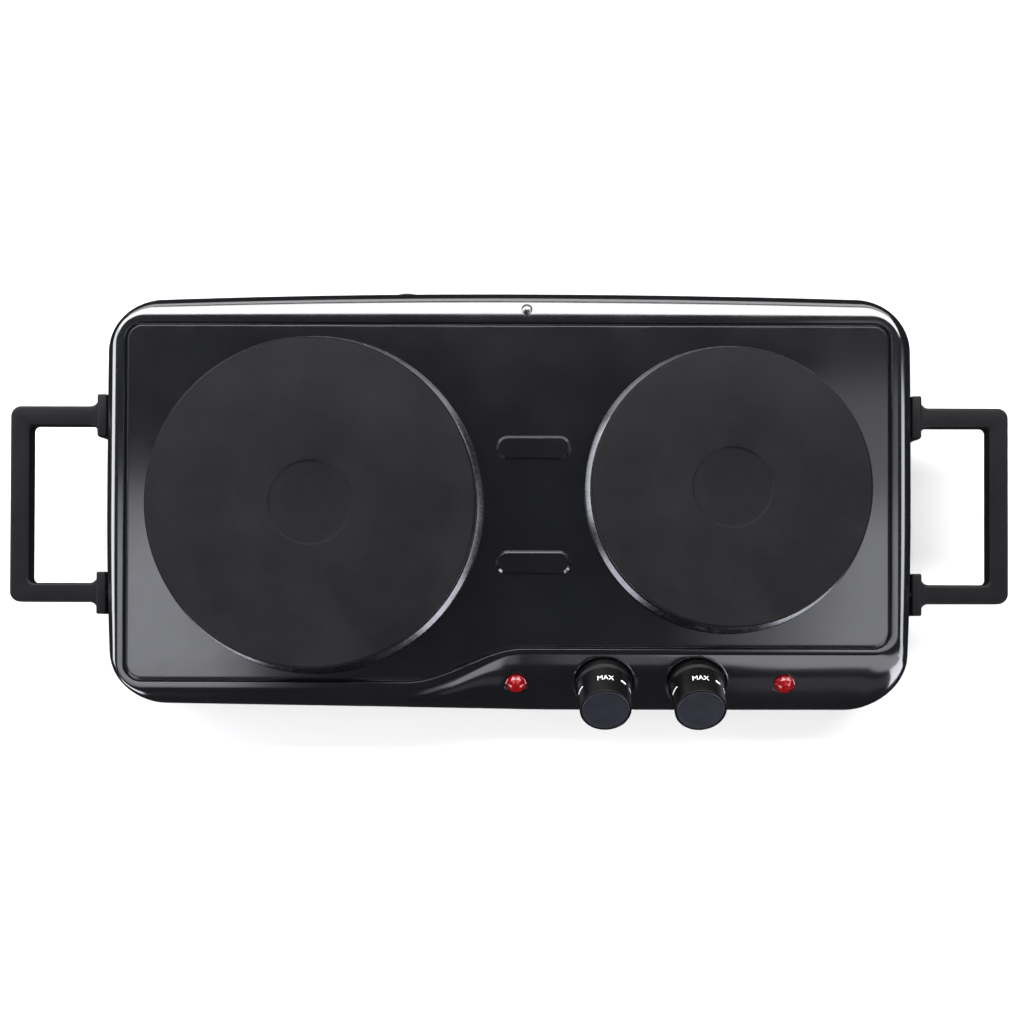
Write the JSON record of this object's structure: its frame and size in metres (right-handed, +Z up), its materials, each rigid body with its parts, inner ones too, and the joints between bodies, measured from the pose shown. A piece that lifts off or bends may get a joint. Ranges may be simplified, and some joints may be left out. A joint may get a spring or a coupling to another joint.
{
  "type": "double electric hot plate",
  "caption": "Low rounded steel housing with one large and one small round cast iron cooking plate, sloping front controls, pilot lamps and loop handles at both ends.",
  "frame": {"origin": "middle of the whole object in plan, level with the underside of the feet", "axes": "+X to the right along the housing, seen from the controls; +Y to the rear; +Z up"},
  "size_m": [0.5748, 0.2526, 0.0748],
  "materials": {
    "housing": "semi-gloss black heat resistant paint on pressed steel",
    "base_plate": "plain zinc plated sheet, slightly dull",
    "cast_iron": "matt dark grey heat resistant coating over fine turned lines",
    "trim_ring": "gloss black enamel",
    "handle": "matt black phenolic plastic, fine grain",
    "knob": "satin black plastic with pale dial marks",
    "knob_cap": "matt blue-black disc",
    "lamp_lens": "clear red moulded jewel",
    "rubber": "matt black",
    "steel": "plain bright steel",
    "zinc_plate": "yellow zinc plate",
    "ceramic": "unglazed off-white steatite",
    "brass": "plain rolled",
    "nylon": "natural nylon",
    "red_wire": "braided sleeve",
    "blue_wire": "braided sleeve",
    "green_wire": "braided sleeve"
  },
  "bodies": {
    "hot_plate": {"base_pan": "base_plate", "base_screw_left_front": "steel", "base_screw_left_rear": "steel", "base_screw_right_front": "steel", "base_screw_right_rear": "steel", "control_bracket": "zinc_plate", "cord_gland": "rubber", "earth_wire": "green_wire", "foot_left_front": "rubber", "foot_left_rear": "rubber", "foot_right_front": "rubber", "foot_right_rear": "rubber", "gland_nut": "nylon", "large_clamp_bar": "zinc_plate", "large_heat_shield": "steel", "large_nut": "steel", "large_plate": "cast_iron", "large_stud": "steel", "large_terminals": "ceramic", "large_trim_ring": "trim_ring", "left_bimetal": "steel", "left_handle": "handle", "left_handle_screw_front": "steel", "left_handle_screw_rear": "steel", "left_lamp_clip": "steel", "left_lamp_holder": "nylon", "left_lamp_lens": "lamp_lens", "left_thermostat": "ceramic", "plate_wire_left": "blue_wire", "plate_wire_right": "blue_wire", "rear_screw": "steel", "rear_screw_nut": "steel", "right_bimetal": "steel", "right_handle": "handle", "right_handle_screw_front": "steel", "right_handle_screw_rear": "steel", "right_lamp_clip": "steel", "right_lamp_holder": "nylon", "right_lamp_lens": "lamp_lens", "right_thermostat": "ceramic", "small_clamp_bar": "zinc_plate", "small_heat_shield": "steel", "small_nut": "steel", "small_plate": "cast_iron", "small_stud": "steel", "small_terminals": "ceramic", "small_trim_ring": "trim_ring", "supply_wire_left": "red_wire", "supply_wire_right": "red_wire", "terminal_block": "nylon", "top_housing": "housing"},
    "left_dial": {"left_knob": "knob", "left_knob_cap": "knob_cap", "left_spindle": "steel"},
    "right_dial": {"right_knob": "knob", "right_knob_cap": "knob_cap", "right_spindle": "steel"},
    "left_contact": {"left_contact_arm": "brass"},
    "right_contact": {"right_contact_arm": "brass"}
  },
  "joints": [
    {"name": "left_dial_turn", "type": "hinge", "parent": "hot_plate", "child": "left_dial", "pos_m": [0.0545, -0.09897, 0.0447], "axis": [0, -0.5878, 0.809], "range_deg": [0, 270]},
    {"name": "left_contact_flex", "type": "hinge", "parent": "hot_plate", "child": "left_contact", "pos_m": [0.0545, -0.07988, 0.03373], "axis": [1, 0, 0], "range_deg": [0, 3.2]},
    {"name": "right_dial_turn", "type": "hinge", "parent": "hot_plate", "child": "right_dial", "pos_m": [0.1075, -0.09897, 0.0447], "axis": [0, -0.5878, 0.809], "range_deg": [0, 270]},
    {"name": "right_contact_flex", "type": "hinge", "parent": "hot_plate", "child": "right_contact", "pos_m": [0.1075, -0.07988, 0.03373], "axis": [1, 0, 0], "range_deg": [0, 3.2]}
  ],
  "couplings": [
    {"joint": "left_contact_flex", "follows": "left_dial_turn", "ratio": 0.011111},
    {"joint": "right_contact_flex", "follows": "right_dial_turn", "ratio": 0.011111}
  ]
}
